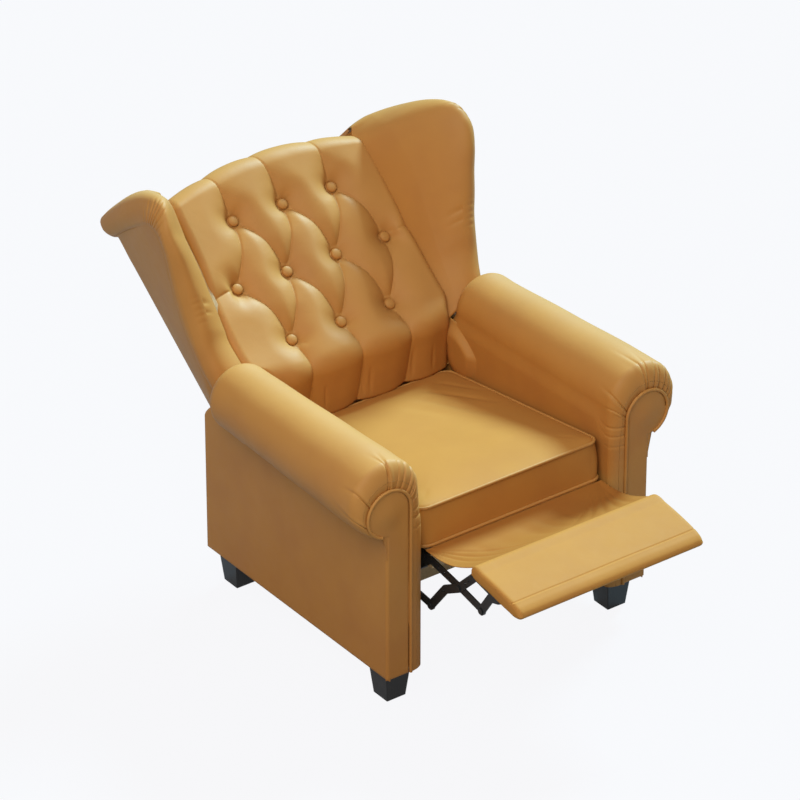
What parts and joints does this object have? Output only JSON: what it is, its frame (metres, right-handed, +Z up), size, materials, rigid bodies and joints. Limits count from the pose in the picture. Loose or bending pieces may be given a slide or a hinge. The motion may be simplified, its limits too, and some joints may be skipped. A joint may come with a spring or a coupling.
{
  "type": "push-back recliner armchair",
  "caption": "Upholstered wing armchair with scroll arms, a diamond-tufted reclining back and a fold-out footrest on scissor links.",
  "frame": {"origin": "on the floor, under the middle of the chair's overall box as pictured: back laid back, footrest out", "axes": "+Z up, the chair faces -Y, +X is the sitter's left"},
  "size_m": [0.866, 1.3967, 0.9349],
  "materials": {
    "frame_wood": "raw plywood and hardwood",
    "leather": "smooth caramel leather, satin",
    "black_steel": "black enamel, satin",
    "bright_steel": "zinc plated",
    "leg_wood": "black stained, satin lacquer",
    "glide": "moulded, matte",
    "deck_felt": "dark needled felt"
  },
  "bodies": {
    "base": {"front_cross_rail": "frame_wood", "left_arm_frame": "frame_wood", "left_arm_pad": "leather", "left_arm_piping": "leather", "left_front_leg": "leg_wood", "left_outer_panel": "leather", "left_rear_leg": "leg_wood", "left_scroll_front": "leather", "leg_bolts": "bright_steel", "leg_glides": "glide", "rear_cross_rail": "frame_wood", "rear_panel": "leather", "right_arm_frame": "frame_wood", "right_arm_pad": "leather", "right_arm_piping": "leather", "right_front_leg": "leg_wood", "right_outer_panel": "leather", "right_rear_leg": "leg_wood", "right_scroll_front": "leather", "slide_rails": "black_steel"},
    "back": {"back_pad": "leather", "back_buttons": "leather", "back_board": "frame_wood", "back_stiles": "frame_wood", "back_rails": "frame_wood", "rear_cover": "leather", "back_hinge_plates": "black_steel", "wing_frames": "frame_wood", "left_wing_pad": "leather", "right_wing_pad": "leather"},
    "footrest": {"footrest_pad": "leather", "footrest_board": "frame_wood", "footrest_brackets": "black_steel", "footrest_rivets": "black_steel"},
    "long_link": {"left_long_link": "black_steel", "right_long_link": "black_steel", "long_link_rivets": "black_steel"},
    "rear_link": {"left_rear_link": "black_steel", "right_rear_link": "black_steel", "rear_link_rivets": "black_steel", "cross_tube": "black_steel"},
    "cross_link": {"left_cross_link": "black_steel", "right_cross_link": "black_steel"},
    "front_link": {"left_front_link": "black_steel", "right_front_link": "black_steel"},
    "seat": {"seat_cushion": "leather", "seat_piping": "leather", "seat_deck": "deck_felt", "seat_springs": "bright_steel", "seat_front_rail": "frame_wood", "seat_rear_rail": "frame_wood", "slide_runners": "black_steel", "hinge_brackets": "black_steel", "back_pivot_bolts": "bright_steel", "plate_rivets": "black_steel", "footrest_flap": "leather", "left_seat_rail": "frame_wood", "right_seat_rail": "frame_wood", "left_mechanism_plate": "black_steel", "right_mechanism_plate": "black_steel"}
  },
  "joints": [
    {"name": "seat_slide", "type": "slide", "parent": "base", "child": "seat", "axis": [0, 1, 0], "range_m": [0, 0.065]},
    {"name": "back_recline", "type": "hinge", "parent": "seat", "child": "back", "pos_m": [0, 0.1664, 0.441], "axis": [1, 0, 0], "range_deg": [0, 26]},
    {"name": "footrest_fold", "type": "hinge", "parent": "seat", "child": "footrest", "pos_m": [0, -0.3906, 0.386], "axis": [1, 0, 0], "range_deg": [0, 80], "deforming": ["footrest_flap"]},
    {"name": "long_link_turn", "type": "hinge", "parent": "seat", "child": "long_link", "pos_m": [0, -0.3356, 0.33], "axis": [1, 0, 0], "range_deg": [0, 80]},
    {"name": "rear_link_turn", "type": "hinge", "parent": "seat", "child": "rear_link", "pos_m": [0, -0.2366, 0.235], "axis": [1, 0, 0], "range_deg": [0, 80]},
    {"name": "cross_link_turn", "type": "hinge", "parent": "long_link", "child": "cross_link", "pos_m": [0, -0.4616, 0.316], "axis": [1, 0, 0], "range_deg": [-80, 0]},
    {"name": "front_link_turn", "type": "hinge", "parent": "long_link", "child": "front_link", "pos_m": [0, -0.5396, 0.299], "axis": [1, 0, 0], "range_deg": [-80, 0]}
  ],
  "couplings": [
    {"joint": "seat_slide", "follows": "back_recline", "m_per_rad": 0.14324},
    {"joint": "long_link_turn", "follows": "footrest_fold", "ratio": 1},
    {"joint": "rear_link_turn", "follows": "footrest_fold", "ratio": 1},
    {"joint": "cross_link_turn", "follows": "footrest_fold", "ratio": -1},
    {"joint": "front_link_turn", "follows": "footrest_fold", "ratio": -1}
  ]
}
